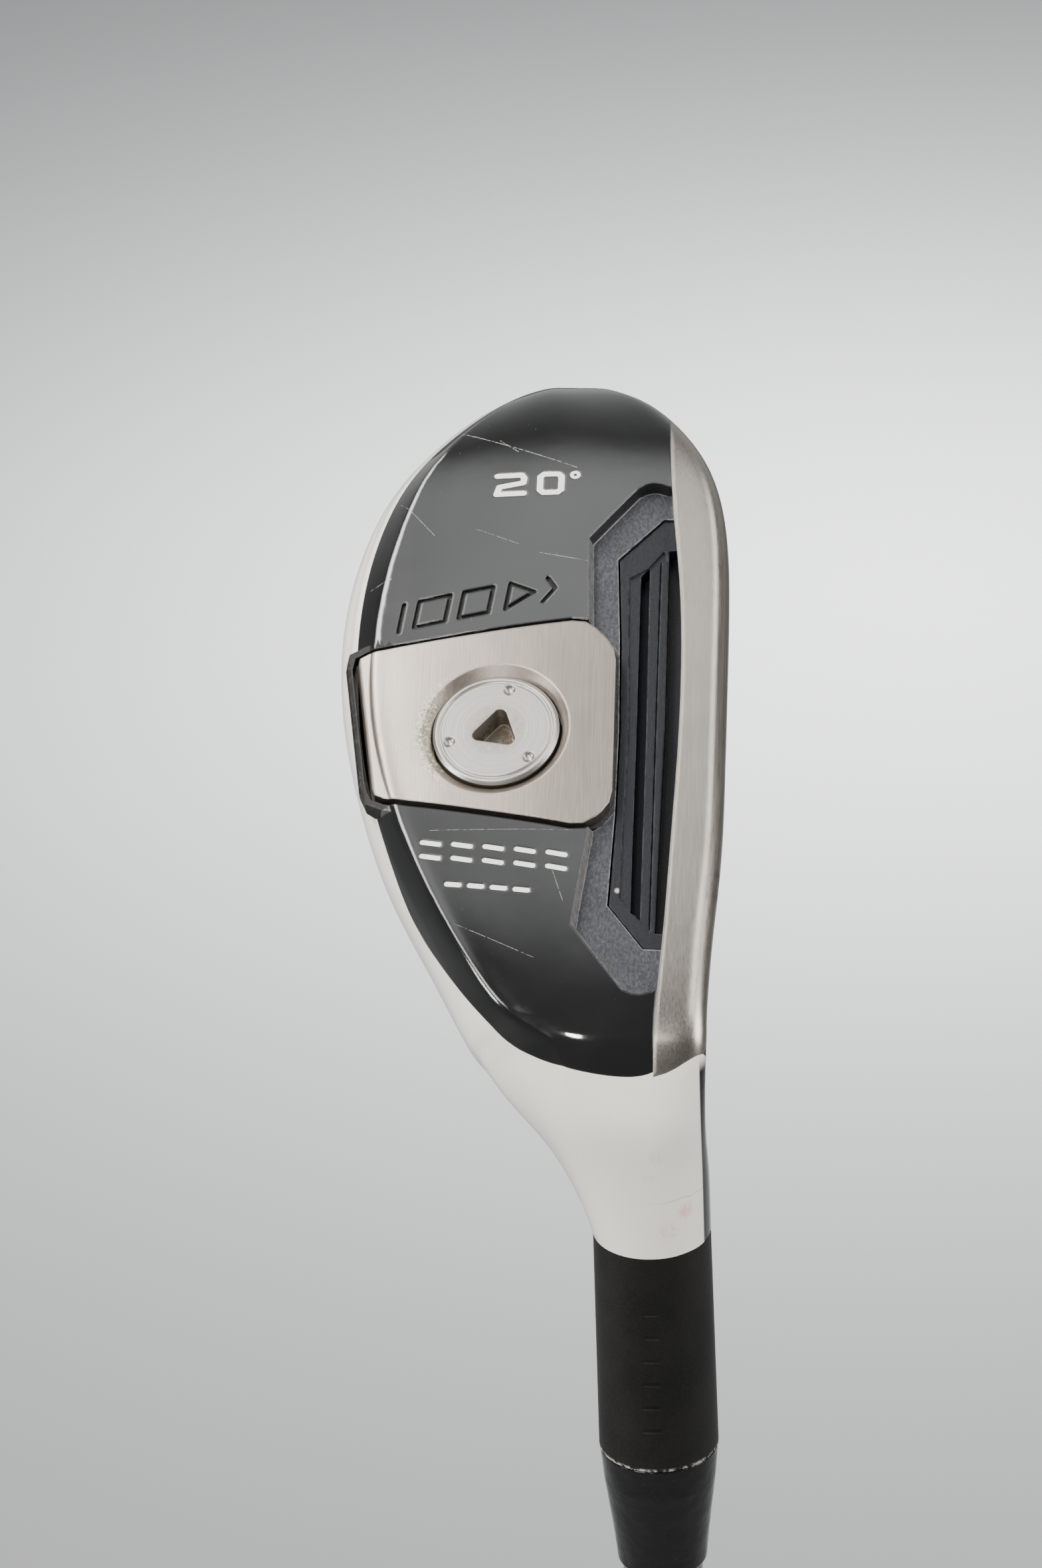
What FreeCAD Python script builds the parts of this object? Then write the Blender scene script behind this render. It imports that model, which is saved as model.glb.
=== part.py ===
# Hybrid golf club, built as separate pieces, millimetres.
# Row frame: +Z runs along the shaft from the butt (z = 0) to the head, +X is the way the face looks,
# and the sole's toe side leans towards +Y.
# Head frame, used for the head's own pieces: A = towards the toe, F = the way the face looks, U = up
# when the club lies on the ground. Its origin is where the shaft's axis meets the ground.
import FreeCAD, Part
import os
from math import sin, cos, tan, radians, sqrt

V = FreeCAD.Vector
os.makedirs("parts", exist_ok=True)

# ---- driving dimensions ----
CLUB_LENGTH = 1022.0      # butt to the ground along the shaft
LIE = 59.0                # shaft angle to the ground
LOFT = 20.0               # face angle back from upright
HOSEL_END = 60.0          # ground to the hosel's end, along the shaft
NECK_END = 31.8           # where the painted neck meets the black hosel
HOSEL_R0 = 6.70           # hosel radius at the neck
HOSEL_R1 = 6.90           # hosel radius at its end
SPIGOT_R = 5.6
SPIGOT_END = 19.0
BORE_R = 4.85             # shaft bore in the hosel
BORE_END = 24.0
TIP_R = 4.65              # shaft, parallel tip
BUTT_R = 7.60             # shaft, butt
SHAFT_WALL = 1.3
FERRULE_LENGTH = 15.8
GRIP_LENGTH = 267.0
CAP_R = 13.6
SOLE_WALL = 2.7
FACE_WALL = 2.3
SKIRT_WALL = 1.6
CROWN_WALL = 1.2
CHANNEL_DEPTH = 1.5
INSERT_DEPTH = 1.75      # top of the insert below the sole
PAD_THICK = 1.7
PAD_PROUD = 0.25
PAD_GAP = 0.55
WEIGHT_AT = (33.7, -17.7)  # weight screw, A and F
WEIGHT_R = 7.3
THREAD_R = 3.95
THREAD_LENGTH = 9.0
THREAD_PITCH = 1.0

# ---- head frame to row frame ----
SL = sin(radians(LIE))
CL = cos(radians(LIE))
TO_ROW = FreeCAD.Matrix(0, 1, 0, 0,
                        SL, 0, CL, 0,
                        CL, 0, -SL, CLUB_LENGTH,
                        0, 0, 0, 1)


def save(name, shape):
    solids = shape.Solids
    if len(solids) > 1:
        solids.sort(key=lambda s: s.Volume, reverse=True)
        print("NOTE", name, "solids", [round(s.Volume, 2) for s in solids])
    shape = solids[0] if len(solids) == 1 else Part.makeCompound(solids)
    print(name, "valid", shape.isValid(), "volume", round(shape.Volume, 1))
    shape.exportStep("parts/" + name + ".step")


def save_head(name, shape):
    placed = shape.copy()
    placed.Placement = FreeCAD.Placement(TO_ROW).multiply(placed.Placement)
    save(name, placed)


# ---- the head's outer skin: a bicubic spline through rings of points ----
RING_ANGLE = [-62, -42, -22, 0, 22, 44, 62, 80, 98, 116, 134,
              154, 176, 192, 205, 217, 229, 241, 253, 266, 281]
SEAM = 12                 # the skin's seam runs along the widest line of the skirt

# A, face F at the leading edge, skirt F, sole U, U of the widest skirt, U of the topline, bevel width
STATIONS = [
    (89.2, -9.8, -14.2, 12.0, 14.5, 17.4, 5.6),
    (88.3, -7.6, -16.5, 9.2, 13.9, 20.2, 5.6),
    (86.2, -4.6, -20.2, 6.8, 12.9, 23.8, 5.6),
    (82.3, 0.2, -25.0, 4.5, 11.6, 27.2, 5.6),
    (74.0, 5.5, -31.2, 2.3, 10.2, 30.9, 5.2),
    (64.0, 8.0, -35.1, 1.2, 9.5, 33.3, 5.2),
    (53.0, 8.6, -36.8, 0.4, 9.1, 34.0, 4.8),
    (41.0, 8.6, -36.3, 0.0, 9.0, 33.1, 3.9),
    (29.0, 8.5, -33.8, 0.1, 9.0, 31.0, 3.1),
    (18.0, 8.2, -30.1, 0.4, 9.0, 28.6, 2.9),
    (8.0, 7.4, -25.2, 0.85, 9.2, 26.3, 2.7),
]
TOE_CAMBER = 0.12
TOE_TIP = V(89.4, -12.0, 14.6)
# the neck: angle about the bend, reach from the bend to the heel's outer line, skirt F, bevel width
# and how softly the bevel meets the sole
NECK = [(0, 35.4, -21.0, 3.7, 0.6), (5.5, 34.91, -19.25, 5.65, 0.9), (8.0, 34.62, -18.5, 7.4, 1.5),
        (10.0, 34.2, -17.85, 8.25, 2.0), (14, 33.16, -16.6, 8.3, 2.6), (20, 31.73, -14.5, 7.7, 2.6),
        (27, 30.2, -12.1, 6.8, 2.4), (36, 27.81, -9.85, 5.75, 2.0), (48, 26.08, -7.75, 4.8, 1.6),
        (59, 25.6, -HOSEL_R0, 4.0, 1.4)]
BEND = V(-0.2, 0, 37.0)       # the neck's sections fan about this point
BEND_INNER = 12.0


def d_ring(fl, fb, us, ub, ut, bevel, soft=0.6):
    """Section of the blade in F and U: leading edge, lofted face, crown, skirt, bevel, sole."""
    q = min(1.0, (ut - us) / 24.0, (fl - fb) / 28.0)
    ul = us + 3.4 * q
    slope = tan(radians(LOFT))

    def face(u):
        return fl - slope * (u - ul)

    ft = face(ut) - 3.0 * q
    ring = [(fl - 4.6 * q, us + 0.5 * q), (fl - 1.1 * q, us + 1.1 * q), (fl, ul)]
    for part in (0.18, 0.5, 0.84):
        u = ul + part * (ut - ul)
        ring.append((face(u), u))
    ring.append((face(ut) - 0.3 * q, ut - 1.5 * q))
    ring.append((ft, ut))
    for turn in (27, 48, 65, 79):
        s = sin(radians(turn)) ** 0.94
        c = cos(radians(turn)) ** 0.84
        ring.append((ft + (fb - ft) * s, ub + (ut - ub) * c))
    ring.append((fb, ub))
    inner = fb + bevel * q
    corner = us + 0.46 * (ub - us)

    def sole(f):
        return us + (f + 8.0) ** 2 / 300.0 * q + TOE_CAMBER * max(0.0, 1 - q) * (f - (fl + fb) / 2) ** 2

    steep = (corner - sole(inner)) / (0.54 * bevel * q)
    ring.append((fb + 0.28 * bevel * q, us + 0.62 * (ub - us)))
    ring.append((fb + 0.46 * bevel * q, corner))
    ring.append((inner - soft * q, sole(inner) + soft * q * steep))
    for part in (0.0, 0.04, 0.14, 0.34, 0.64):
        f = inner + 0.5 * soft * q + part * (fl - (4.6 + 0.5 * soft) * q - inner)
        ring.append((f, sole(f)))
    return ring


def neck_ring(turn, reach, fb, bevel, soft):
    height = reach - BEND_INNER
    blend = min(1.0, turn / 42.0)
    blend = blend * blend * (3 - 2 * blend)
    blade = d_ring(6.9, fb, 0.0, height * 0.36, height, bevel, soft)
    points = []
    for (f, v), angle in zip(blade, RING_ANGLE):
        cf = (HOSEL_R0 + fb) / 2 + (HOSEL_R0 - fb) / 2 * cos(radians(angle))
        cv = height / 2 * (1 + sin(radians(angle)))
        f = f + (cf - f) * blend
        v = v + (cv - v) * blend
        r = reach - v
        points.append(V(BEND.x - r * sin(radians(turn)), f, BEND.z - r * cos(radians(turn))))
    return points


def spline_net(rows):
    """Control net whose spline passes through the rows of points, away from the two ends."""
    n = len(rows[0])
    m = len(rows)
    net = [list(row) for row in rows]
    for turn in range(24):
        around = []
        for row in net:
            around.append([(row[i - 1] + row[i] * 4 + row[(i + 1) % n]) * (1 / 6) for i in range(n)])
        new = []
        for j in range(m):
            if j < 2 or j > m - 3:
                base = around[j]
            else:
                base = [(around[j - 1][i] + around[j][i] * 4 + around[j + 1][i]) * (1 / 6)
                        for i in range(n)]
            new.append([net[j][i] + (rows[j][i] - base[i]) * 0.9 for i in range(n)])
        net = new
    return net


def skin(rows):
    net = [row[SEAM:] + row[:SEAM] for row in spline_net(rows)]
    m = len(net)
    n = len(net[0])
    surface = Part.BSplineSurface()
    surface.buildFromPolesMultsKnots(net, [4] + [1] * (m - 4) + [4], [1] * (n + 1),
                                     [float(k) for k in range(m - 2)], [float(k) for k in range(n + 1)],
                                     False, True, 3, 3)
    face = surface.toShape()
    return surface, face


def closed_solid(rows):
    surface, face = skin(rows)
    faces = [face]
    u0, u1, v0, v1 = surface.bounds()
    for u in (u0, u1):
        rim = surface.uIso(u)
        if rim.length() > 0.1:
            faces.append(Part.Face(Part.Wire(rim.toShape())))
    shell = Part.Shell(Part.makeShell(faces).Faces)
    shell.sewShape()
    solid = Part.Solid(shell)
    if solid.Volume < 0:
        solid.reverse()
    return solid


blade_rings = [[V(s[0], f, u) for f, u in d_ring(*s[1:])] for s in STATIONS]
toe_ring = [TOE_TIP + (p - TOE_TIP) * 0.1 for p in blade_rings[0]]
rows = [toe_ring] + blade_rings + [neck_ring(*section) for section in NECK]
head_solid = closed_solid(rows)

inner_rows = []
for toe, fl, fb, us, ub, ut, bevel in STATIONS[1:]:
    ring = d_ring(fl - FACE_WALL - 1.2, fb + SKIRT_WALL, us + SOLE_WALL, ub + 0.6, ut - CROWN_WALL, bevel)
    inner_rows.append([V(toe - 1.8 if toe > 85 else toe, f, u) for f, u in ring])
cavity = closed_solid(inner_rows)


# ---- small helpers ----
def lifted(solid, height):
    """The same shape moved up, into the head: trimming with it leaves a skin of even depth."""
    copy = solid.copy()
    copy.translate(V(0, 0, height))
    return copy


def plan_prism(points, low, high, smooth=False):
    """Upright prism over an outline in A and F."""
    loop = [V(a, f, low) for a, f in points]
    if smooth:
        curve = Part.BSplineCurve()
        curve.interpolate(loop, PeriodicFlag=True)
        wire = Part.Wire(curve.toShape())
    else:
        wire = Part.makePolygon(loop + [loop[0]])
    return Part.Face(wire).extrude(V(0, 0, high - low))


def softened(points, reach):
    """The same outline with each corner eased over a short reach."""
    eased = []
    n = len(points)
    for i, (a, f) in enumerate(points):
        for j in ((i - 1) % n, (i + 1) % n):
            da = points[j][0] - a
            df = points[j][1] - f
            size = sqrt(da * da + df * df)
            eased.append((a + da / size * reach, f + df / size * reach))
        p, q = eased[-2:]
        eased.insert(-1, ((p[0] + q[0] + 2 * a) / 4, (p[1] + q[1] + 2 * f) / 4))
    return eased


def grown(points, reach):
    """The same outline with every side moved outwards by one distance (inwards when negative)."""
    n = len(points)
    turn = sum(points[i - 1][0] * points[i][1] - points[i][0] * points[i - 1][1] for i in range(n))
    side = reach if turn > 0 else -reach
    moved = []
    for i in range(n):
        (a0, f0), (a1, f1), (a2, f2) = points[i - 1], points[i], points[(i + 1) % n]
        da, df = a1 - a0, f1 - f0
        ea, ef = a2 - a1, f2 - f1
        d, e = sqrt(da * da + df * df), sqrt(ea * ea + ef * ef)
        na, nf = df / d + ef / e, -da / d - ea / e
        size = side * 2 / (na * na + nf * nf)
        moved.append((a1 + na * size, f1 + nf * size))
    return moved


def draft_prism(points, low, high, slope):
    """Upright prism whose outline shrinks by the slope for each millimetre above U = 0."""
    wires = []
    for u in (low, high):
        loop = [V(a, f, u) for a, f in grown(points, -slope * u)]
        wires.append(Part.makePolygon(loop + [loop[0]]))
    return Part.makeLoft(wires, True, True)


def lathe(profile):
    """Turned solid about Z from radius and height pairs."""
    loop = [V(r, 0, z) for r, z in profile]
    return Part.Face(Part.makePolygon(loop + [loop[0]])).revolve(V(0, 0, 0), V(0, 0, 1), 360)


def tube(r_out, r_in, z0, z1):
    body = Part.makeCylinder(r_out, z1 - z0, V(0, 0, z0))
    if r_in > 0:
        body = body.cut(Part.makeCylinder(r_in, z1 - z0 + 2, V(0, 0, z0 - 1)))
    return body


def along_hosel(shape):
    """Place a shape made about +Z from the ground point so that it runs up the hosel."""
    moved = shape.copy()
    moved.rotate(V(0, 0, 0), V(0, 1, 0), -(90 - LIE))
    return moved


# ---- weight screw: local axis runs from the sole's surface into the head ----
SOLE_AT_WEIGHT = (WEIGHT_AT[1] + 8.0) ** 2 / 300.0
TILT = 3.7


def at_weight(shape):
    moved = shape.copy()
    moved.rotate(V(0, 0, 0), V(1, 0, 0), -TILT)
    moved.translate(V(WEIGHT_AT[0], WEIGHT_AT[1], SOLE_AT_WEIGHT))
    return moved


BOSS_TOP = 17.4
BOSS_FROM = PAD_THICK + 0.05
HEAD_DEPTH = 4.6
WASHER = 0.8
boss = lathe([(WEIGHT_R + 0.15, BOSS_FROM), (9.4, BOSS_FROM), (9.4, 7.2), (6.4, 8.6), (6.4, BOSS_TOP),
              (0, BOSS_TOP), (0, BOSS_TOP - 1.6), (THREAD_R + 0.05, BOSS_TOP - 1.6),
              (THREAD_R + 0.05, HEAD_DEPTH + WASHER), (WEIGHT_R + 0.15, HEAD_DEPTH + WASHER)])
boss_plug = tube(9.4, 0, BOSS_FROM, 7.2).fuse(tube(6.4, 0, 7.2, BOSS_TOP))

shank = [(0, -0.1), (0, HEAD_DEPTH + THREAD_LENGTH + 0.8), (2.6, HEAD_DEPTH + THREAD_LENGTH + 0.8)]
turns = int(THREAD_LENGTH / THREAD_PITCH)
for k in range(turns, 0, -1):
    z = HEAD_DEPTH + 0.4 + (k - 0.5) * THREAD_PITCH
    shank += [(3.35, z + 0.45), (THREAD_R, z + 0.12), (THREAD_R, z - 0.12), (3.35, z - 0.45)]
shank += [(3.35, HEAD_DEPTH), (WEIGHT_R - 0.3, HEAD_DEPTH), (WEIGHT_R, HEAD_DEPTH - 0.3), (WEIGHT_R, 0.2),
          (WEIGHT_R - 0.35, -0.1), (6.7, -0.1), (6.55, 0.12), (6.4, 0.12), (6.25, -0.1)]
screw = lathe(shank)
socket = []
for k in range(3):
    socket.append(V(3.6 * cos(radians(132 + 120 * k)), 3.6 * sin(radians(132 + 120 * k)), -1))
socket = Part.Face(Part.makePolygon(socket + [socket[0]])).extrude(V(0, 0, 4.2))
socket = socket.makeFillet(0.8, [e for e in socket.Edges if abs(e.tangentAt(e.FirstParameter).z) > 0.99])
screw = screw.cut(socket)
for turn in (15, 135, 255):
    spot = V(5.5 * cos(radians(turn)), 5.5 * sin(radians(turn)), -0.35)
    screw = screw.cut(Part.makeSphere(0.75, spot))
washer = tube(6.4, THREAD_R + 0.12, HEAD_DEPTH, HEAD_DEPTH + WASHER - 0.05)

# ---- outlines in A and F ----
STRIP_WALL = [(88.5, 0.85), (81.6, 1.15), (75.0, 1.35), (69.0, 1.65), (62.0, 2.2), (55.5, 2.8), (44.0, 3.3),
              (33.0, 3.2), (20.0, 2.6), (5.8, 1.8), (-3.0, 1.15), (-8.8, 0.95)]
STRIP_END = [(-8.4, 2.4), (-7.9, 3.5), (-7.1, 4.8), (-6.2, 6.1), (-5.0, 7.6), (-4.0, 16.0), (92.0, 16.0)]
SOLE_EDGE = [(-8.9, -3.0), (-8.5, -6.7), (-7.6, -9.6), (-6.2, -12.4), (-4.0, -15.6), (-1.2, -18.4),
             (2.1, -20.9), (6.5, -23.7), (11.9, -26.7), (19.2, -29.6), (29.2, -32.5), (41.9, -34.3),
             (53.6, -34.2), (65.6, -32.0), (71.7, -29.5), (77.4, -25.5), (82.2, -21.1), (86.8, -16.0),
             (89.6, -10.8), (88.0, -4.5)]
SOLE_FRONT = [(82.5, 3.0), (76, 7), (66, 11), (40, 12.5), (12, 10.5), (-2.5, 6.6), (-7.0, 3.2), (-8.5, 0.6)]
CHANNEL = [(69.0, 8.0), (69.2, 1.4), (69.6, 0.3), (69.6, -0.7), (69.2, -1.8), (68.4, -2.8), (60.8, -8.1),
           (48.7, -7.5), (20.2, -6.9), (14.3, -7.8), (8.0, -8.7), (-0.3, -2.9), (-0.9, -1.6), (-1.0, -0.4),
           (-0.6, 0.9), (0.2, 2.0), (0.6, 8.0)]
INSERT = [(64.4, 6.0), (64.4, 0.9), (58.4, -4.2), (47.0, -3.7), (34.5, -3.5), (23.0, -3.7), (11.4, -4.3),
          (6.1, -0.3), (6.1, 6.0)]
PANEL = [(60.0, 0.9), (57.3, -1.0), (55.9, -3.1), (34.5, -2.6), (12.6, -3.2), (8.2, 0.2), (8.9, 0.9),
         (34.5, 1.5), (58.5, 1.5)]
PAD = [(45.7, -35.1), (49.2, -7.4), (44.8, -3.6), (23.4, -3.6), (20.0, -7.0), (25.3, -32.3)]
CROWN = [(9.5, -5.5), (30, -6.6), (55, -8.2), (71, -9.4), (79, -12.5), (80, -17.5), (75, -24),
         (65.5, -28.6), (53, -30.6), (41, -30.4), (29, -28.2), (18, -24), (10.5, -18.5), (7.5, -11.5)]
FACE = [(-6.2, -8), (-6.1, 4), (-4.8, 12.5), (-1.2, 19.2), (6, 23.2), (20, 26.0), (40, 29.4), (54, 30.9),
        (65, 30.0), (73.5, 27.0), (79.0, 22.0), (81.8, 15.5), (82.6, 8), (82.8, -8)]


def curve_from(points, z):
    line = Part.BSplineCurve()
    line.interpolate([V(a, f, z) for a, f in points])
    return line.toShape()


strip = curve_from(STRIP_WALL, -5)
ahead = Part.makePolygon([V(a, f, -5) for a, f in [STRIP_WALL[-1]] + STRIP_END + [STRIP_WALL[0]]])
front_region = Part.Face(Part.Wire([strip] + ahead.Edges)).extrude(V(0, 0, 12.2))
face_loop = [V(a, 0, u) for a, u in FACE]
face_slab = Part.Face(Part.makePolygon(face_loop + [face_loop[0]])).extrude(V(0, 1, 0) * 12)
face_slab.rotate(V(0, 0, 0), V(1, 0, 0), LOFT)
face_slab.translate(V(0, 8.3 - 3.3 + 1.2, 0))
face_region = front_region.fuse(face_slab).removeSplitter()

side_view = [V(-30, -50, -8), V(-30, -50, 6.6), V(80, -50, 6.6), V(92, -50, 9.3), V(92, -50, -8)]
sole_layer = Part.Face(Part.makePolygon(side_view + [side_view[0]])).extrude(V(0, 80, 0))
sole_region = plan_prism(SOLE_EDGE + SOLE_FRONT, -5, 14, smooth=True).common(sole_layer)
crown_region = plan_prism(CROWN, 12, 45, smooth=True)

# ---- head shell and its panels ----
shell = head_solid.cut(cavity)
face_cup = shell.common(face_region)
sole_plate = shell.common(sole_region).cut(face_region)
crown_plate = shell.common(crown_region).cut(face_region)
bore = along_hosel(tube(SPIGOT_R, 0, SPIGOT_END, NECK_END + 5))
head_body = shell.cut(face_region).cut(sole_region).cut(crown_region).cut(bore)

# the blasted channel, the slot through it and the polymer insert
channel = draft_prism(CHANNEL, -1, 5, 0.3).cut(front_region).cut(lifted(head_solid, CHANNEL_DEPTH))
sole_plate = sole_plate.cut(channel)
sole_plate = sole_plate.cut(plan_prism(grown(INSERT, 0.2), -5, 9).cut(front_region))
insert_prism = plan_prism(INSERT, -5, 9).cut(front_region)
insert = insert_prism.common(lifted(head_solid, INSERT_DEPTH)).cut(lifted(head_solid, 5.2))


def sunk(points, depth):
    """Everything over an outline down to a depth below the sole."""
    return plan_prism(points, -5, 9).cut(lifted(head_solid, depth))


insert = insert.cut(sunk(PANEL, INSERT_DEPTH + 0.25))
groove = [(58.6, 0.5), (34.0, 0.4), (8.6, 0.2), (8.6, 0.35), (34.0, 0.55), (58.6, 0.65)]
insert = insert.cut(sunk(groove, INSERT_DEPTH + 0.6))
slot = [(57.6, -0.7), (56.4, -1.7), (34.0, -1.7), (10.6, -1.9), (9.8, -0.8), (34.0, -0.6)]
insert = insert.cut(sunk(slot, INSERT_DEPTH + 2.2))
front_gap = [(61.0, 6.0), (60.0, 1.5), (34.5, 1.5), (8.0, 0.9), (8.0, 6.0)]
insert = insert.cut(sunk(front_gap, INSERT_DEPTH + 2.0))

# the let-in pad, which runs on past the bevel, its black lip, its bonding layer and the weight under it
def pad_tail(reach, sunken):
    """Solid under the pad's tail: the sole's own curve carried on to a rounded rear edge."""
    wires = []
    for a, rise, bottom in ((14.0, 0.25, 3.6), (56.0, 0.1, 6.4)):
        edge = PAD[0][1] + (PAD[0][0] - a) * (PAD[5][1] - PAD[0][1]) / (PAD[0][0] - PAD[5][0]) - reach
        loop = [V(a, -20.0, 8.5), V(a, -20.0, rise + 0.7)]
        for back, drop in ((5.5, 0.1), (2.4, 0.12), (0.6, 0.12), (0.25, 0.25), (0.0, 0.7)):
            f = edge + back
            loop.append(V(a, f, rise + (f + 8.0) ** 2 / 300.0 - PAD_PROUD + drop + sunken))
        loop.append(V(a, edge, bottom))
        wires.append(Part.makePolygon(loop + [loop[0]]))
    return Part.makeLoft(wires, True, True)


pad_seat = plan_prism(softened(PAD, 2.0), -4, 14).cut(lifted(head_solid, PAD_THICK))
lip = plan_prism(softened(grown(PAD, 0.8), 2.6), -4, 14).common(pad_tail(0.8, 0.4))
lip = lip.cut(lifted(head_solid, 0.5)).cut(pad_seat)
sole_plate = sole_plate.cut(pad_seat).fuse(lip)
head_body = head_body.cut(pad_seat).cut(lip)
pad_prism = plan_prism(softened(grown(PAD, -PAD_GAP), 1.7), -4, 14)
pad = pad_prism.common(lifted(head_solid, -PAD_PROUD).fuse(pad_tail(-PAD_GAP, 0.0)))
pad = pad.cut(lifted(head_solid, PAD_THICK - 0.2))
glue = pad_prism.common(lifted(head_solid, PAD_THICK - 0.2)).cut(lifted(head_solid, PAD_THICK))
hole = at_weight(tube(WEIGHT_R + 0.25, 0, -4, 4))
pad = pad.cut(hole)
pad = pad.cut(at_weight(Part.makeCone(WEIGHT_R + 2.6, WEIGHT_R + 0.2, 1.7, V(0, 0, -1.0))))
glue = glue.cut(at_weight(tube(9.6, 0, -4, 4)))
boss = at_weight(boss).cut(pad_seat)
plug = at_weight(boss_plug)
sole_plate = sole_plate.cut(plug).cut(at_weight(tube(9.4, 0, -2, 3)))
head_body = head_body.cut(plug)

# white paint fills: the loft in degrees, and two rows of plain bars
MARK = 0.15


def stroke(p, q, width):
    """A straight pen stroke with round ends, as an upright prism."""
    dx = q[0] - p[0]
    dy = q[1] - p[1]
    size = sqrt(dx * dx + dy * dy)
    nx = -dy / size * width / 2
    ny = dx / size * width / 2
    bar = plan_prism([(p[0] + nx, p[1] + ny), (q[0] + nx, q[1] + ny), (q[0] - nx, q[1] - ny),
                      (p[0] - nx, p[1] - ny)], -5, 8)
    for end in (p, q):
        bar = bar.fuse(Part.makeCylinder(width / 2, 13, V(end[0], end[1], -5)))
    return bar


def inlay(prisms):
    return [p.common(head_solid).cut(lifted(head_solid, MARK)) for p in prisms]


loft_pen = 0.74
two = [(70.4, -18.9), (70.4, -16.0), (69.9, -15.7), (69.2, -15.8), (68.7, -18.6), (67.6, -18.9),
       (67.6, -15.7)]
loft_strokes = [stroke(two[k], two[k + 1], loft_pen) for k in range(6)]
zero = [(68.0, -13.8), (70.0, -13.8), (70.4, -13.4), (70.4, -11.7), (70.0, -11.3), (68.0, -11.3),
        (67.6, -11.7), (67.6, -13.4)]
loft_strokes += [stroke(zero[k - 1], zero[k], loft_pen) for k in range(8)]
ring_mark = Part.makeCylinder(0.62, 13, V(70.2, -9.7, -5))
ring_mark = ring_mark.cut(Part.makeCylinder(0.2, 13, V(70.2, -9.7, -5)))
loft_mark = inlay([ring_mark] + loft_strokes)
loft_mark = loft_mark[0].multiFuse(loft_mark[1:]).removeSplitter()
bars = []
for k in range(5):
    f = -25.6 + 3.6 * k
    a = 18.5 - 0.136 * (f + 26.4)
    bars.append(stroke((a + 0.9, f), (a + 0.5, f + 1.9), 0.6))
    bars.append(stroke((a - 0.9, f), (a - 1.3, f + 1.9), 0.6))
for k in range(4):
    f = -22.6 + 2.6 * k
    bars.append(stroke((13.7 - 0.13 * (f + 22.9), f), (13.5 - 0.13 * (f + 22.9), f + 1.4), 0.6))
name_marks = inlay(bars)
name_marks = Part.makeCompound(name_marks)
sole_plate = sole_plate.cut(loft_mark).cut(name_marks)

# an engraved row of plain shapes near the toe: a bar, two slanted boxes, a wedge and a chevron
def engraved(points, closed=True):
    """Pen strokes sunk into the sole, given as (along the row, across it)."""
    at = [(51.7 + 0.17 * (f + 20.6) + a, f) for f, a in points]
    for j in range(0 if closed else 1, len(at)):
        yield stroke(at[j - 1], at[j], 0.5).cut(lifted(head_solid, 0.35))


SHAPES = [([(-29.6, -2.0), (-29.1, 1.8)], False),
          ([(-27.8, -1.8), (-24.2, -1.8), (-23.7, 1.8), (-27.3, 1.8)], True),
          ([(-22.6, -1.8), (-19.2, -1.8), (-18.7, 1.8), (-22.1, 1.8)], True),
          ([(-17.2, -1.8), (-16.7, 1.8), (-13.9, 0.0)], True),
          ([(-12.9, -1.6), (-11.5, 0.1), (-12.4, 1.7)], False)]
for points, closed in SHAPES:
    for cutter in engraved(points, closed):
        sole_plate = sole_plate.cut(cutter)

# score lines across the face
for k in range(9):
    line = Part.makeBox(46.0, 3.0, 0.8, V(18.0, -0.45, 5.0 + 2.8 * k))
    line.rotate(V(0, 0, 0), V(1, 0, 0), LOFT)
    line.translate(V(0, 10.0, 0))
    face_cup = face_cup.cut(line)

save_head("head_body", head_body)
save_head("crown_plate", crown_plate)
save_head("face_cup", face_cup)
save_head("sole_plate", sole_plate)
save_head("slot_insert", insert)
save_head("weight_pad", pad)
save_head("pad_adhesive", glue)
save_head("weight_boss", boss)
save_head("weight_screw", at_weight(screw))
save_head("weight_washer", at_weight(washer))
save_head("loft_mark", loft_mark)
save_head("name_marks", name_marks)

# ---- neck end, shaft and grip, in the row frame ----
Z_HOSEL = CLUB_LENGTH - HOSEL_END
Z_NECK = CLUB_LENGTH - NECK_END
Z_BORE = CLUB_LENGTH - BORE_END
hosel = lathe([(BORE_R, Z_HOSEL), (HOSEL_R1, Z_HOSEL), (HOSEL_R0, Z_NECK), (SPIGOT_R, Z_NECK),
               (SPIGOT_R, CLUB_LENGTH - SPIGOT_END), (0, CLUB_LENGTH - SPIGOT_END), (0, Z_BORE),
               (BORE_R, Z_BORE)])
for k in range(6):
    tick = Part.makeBox(3.0, 1.0, 0.5, V(-2.2, -HOSEL_R1 - 0.78, Z_HOSEL + 5.2 + 3.1 * k))
    hosel = hosel.cut(tick)
save("hosel_tube", hosel)
z1 = Z_HOSEL - FERRULE_LENGTH
ferrule = lathe([(TIP_R + 0.02, z1), (5.0, z1), (5.2, z1 + 0.4), (5.35, z1 + 2.0), (5.65, z1 + 4.8),
                 (6.15, z1 + 8.8), (6.5, z1 + 11.6), (HOSEL_R1 - 0.08, Z_HOSEL - 0.25),
                 (HOSEL_R1 - 0.3, Z_HOSEL), (TIP_R + 0.02, Z_HOSEL)])
save("ferrule", ferrule)
TIP_Z = Z_BORE - 0.6
save("hosel_epoxy", tube(BORE_R, TIP_R, Z_HOSEL, TIP_Z))
BUTT_Z = 4.0
shaft = lathe([(BUTT_R - SHAFT_WALL, BUTT_Z), (BUTT_R, BUTT_Z), (BUTT_R, 90.0), (TIP_R, 870.0),
               (TIP_R, TIP_Z), (TIP_R - SHAFT_WALL, TIP_Z), (TIP_R - SHAFT_WALL, 870.0),
               (BUTT_R - SHAFT_WALL, 90.0)])
save("shaft", shaft)
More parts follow.
